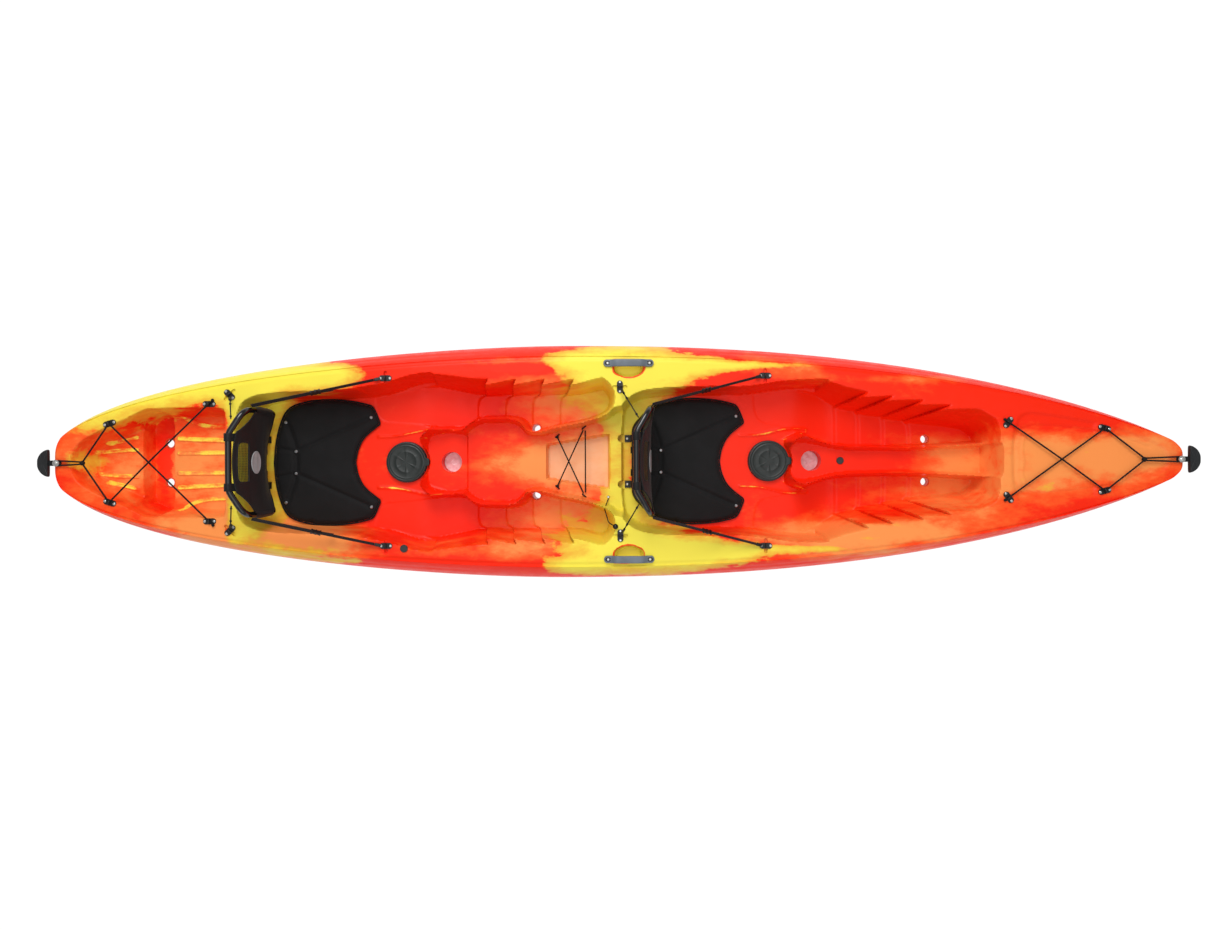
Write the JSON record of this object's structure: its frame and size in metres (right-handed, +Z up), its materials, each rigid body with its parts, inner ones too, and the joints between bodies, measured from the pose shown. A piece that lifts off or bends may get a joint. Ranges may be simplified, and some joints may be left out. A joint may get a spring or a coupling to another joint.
{
  "type": "kayak",
  "caption": "Tandem sit-on-top kayak with moulded hull, folding seatbacks, lift-off hatches, storage wells under bungee cord, carry handles and toggles.",
  "frame": {"origin": "centre of the whole kayak's box, on the ground under the keel", "axes": "+X from stern to bow, +Y to port, +Z up"},
  "size_m": [4.198, 0.8794, 0.484],
  "materials": {
    "hull_plastic": "rotomoulded polyethylene, swirled yellow, orange and red, satin",
    "rim_plastic": "moulded, satin",
    "lid_plastic": "moulded, fine grain",
    "seal_rubber": "soft foam rubber",
    "screw_steel": "stainless, polished heads",
    "rivet_plastic": "dull caps",
    "cushion_fabric": "black nylon weave over moulded foam",
    "frame_paint": "gloss black powder coat",
    "sling_fabric": "black nylon with a mesh window",
    "fitting_plastic": "moulded black nylon",
    "strap_webbing": "woven black webbing",
    "tie_cord": "braided black cord",
    "bungee_cord": "braided shock cord",
    "grip_plastic": "moulded rubbery plastic",
    "handle_plastic": "moulded blue-grey plastic",
    "plug_rubber": "moulded rubber"
  },
  "bodies": {
    "hull_assembly": {"hull": "hull_plastic", "rear_hatch_rim": "rim_plastic", "rear_hatch_screws": "screw_steel", "rear_clip_screws": "screw_steel", "rear_cushion_rivets": "rivet_plastic", "rear_seat_cushion": "cushion_fabric", "rear_seat_clips": "fitting_plastic", "rear_strap_hooks": "fitting_plastic", "rear_tie_hooks": "fitting_plastic", "rear_seat_port_strap": "strap_webbing", "rear_seat_port_buckle": "fitting_plastic", "rear_seat_port_tie": "tie_cord", "rear_seat_starboard_strap": "strap_webbing", "rear_seat_starboard_buckle": "fitting_plastic", "rear_seat_starboard_tie": "tie_cord", "front_hatch_rim": "rim_plastic", "front_hatch_screws": "screw_steel", "front_clip_screws": "screw_steel", "front_cushion_rivets": "rivet_plastic", "front_seat_cushion": "cushion_fabric", "front_seat_clips": "fitting_plastic", "front_strap_hooks": "fitting_plastic", "front_tie_hooks": "fitting_plastic", "front_seat_port_strap": "strap_webbing", "front_seat_port_buckle": "fitting_plastic", "front_seat_port_tie": "tie_cord", "front_seat_starboard_strap": "strap_webbing", "front_seat_starboard_buckle": "fitting_plastic", "front_seat_starboard_tie": "tie_cord", "seat_pad_eyes": "fitting_plastic", "stern_pad_eyes": "fitting_plastic", "bow_pad_eyes": "fitting_plastic", "well_eyes": "fitting_plastic", "paddle_keeper_ball": "fitting_plastic", "stern_bungee": "bungee_cord", "bow_bungee": "bungee_cord", "well_bungee": "bungee_cord", "paddle_keeper_cord": "bungee_cord", "stern_toggle_strap": "strap_webbing", "bow_toggle_strap": "strap_webbing", "stern_tip_bolt": "screw_steel", "bow_tip_bolt": "screw_steel", "pad_eye_screws": "screw_steel", "carry_handle_screws": "screw_steel", "port_carry_handle": "handle_plastic", "starboard_carry_handle": "handle_plastic"},
    "rear_seatback": {"rear_seatback_frame": "frame_paint", "rear_seatback_sling": "sling_fabric"},
    "front_seatback": {"front_seatback_frame": "frame_paint", "front_seatback_sling": "sling_fabric"},
    "rear_lid": {"rear_hatch_lid": "lid_plastic", "rear_hatch_seal": "seal_rubber"},
    "front_lid": {"front_hatch_lid": "lid_plastic", "front_hatch_seal": "seal_rubber"},
    "stern_toggle": {"stern_toggle_grip": "grip_plastic"},
    "bow_toggle": {"bow_toggle_grip": "grip_plastic"},
    "deck_drain_plug": {"deck_plug": "plug_rubber"},
    "console_drain_plug": {"console_plug": "plug_rubber"},
    "side_drain_plug": {"hull_plug": "plug_rubber"}
  },
  "joints": [
    {"name": "rear_seatback_fold", "type": "hinge", "parent": "hull_assembly", "child": "rear_seatback", "pos_m": [-1.356, 0, 0.17], "axis": [0, 1, 0], "range_deg": [-8, 32], "deforming": ["rear_seat_port_strap", "rear_seat_port_tie", "rear_seat_starboard_strap", "rear_seat_starboard_tie"]},
    {"name": "front_seatback_fold", "type": "hinge", "parent": "hull_assembly", "child": "front_seatback", "pos_m": [0.06, 0, 0.17], "axis": [0, 1, 0], "range_deg": [-8, 32], "deforming": ["front_seat_port_strap", "front_seat_port_tie", "front_seat_starboard_strap", "front_seat_starboard_tie"]},
    {"name": "rear_lid_lift", "type": "slide", "parent": "hull_assembly", "child": "rear_lid", "axis": [0, 0, 1], "range_m": [0, 0.08]},
    {"name": "front_lid_lift", "type": "slide", "parent": "hull_assembly", "child": "front_lid", "axis": [0, 0, 1], "range_m": [0, 0.08]},
    {"name": "stern_toggle_swing", "type": "hinge", "parent": "hull_assembly", "child": "stern_toggle", "pos_m": [-2.056, 0, 0.3468], "axis": [0, -1, 0], "range_deg": [-20, 90], "deforming": ["stern_toggle_strap"]},
    {"name": "bow_toggle_swing", "type": "hinge", "parent": "hull_assembly", "child": "bow_toggle", "pos_m": [2.056, 0, 0.3468], "axis": [0, 1, 0], "range_deg": [-20, 90], "deforming": ["bow_toggle_strap"]},
    {"name": "deck_plug_pull", "type": "slide", "parent": "hull_assembly", "child": "deck_drain_plug", "axis": [0, 0, 1], "range_m": [0, 0.02]},
    {"name": "console_plug_pull", "type": "slide", "parent": "hull_assembly", "child": "console_drain_plug", "axis": [0, 0, 1], "range_m": [0, 0.02]},
    {"name": "side_plug_pull", "type": "slide", "parent": "hull_assembly", "child": "side_drain_plug", "axis": [-0.5759, 0.8175, 0], "range_m": [0, 0.02]}
  ]
}
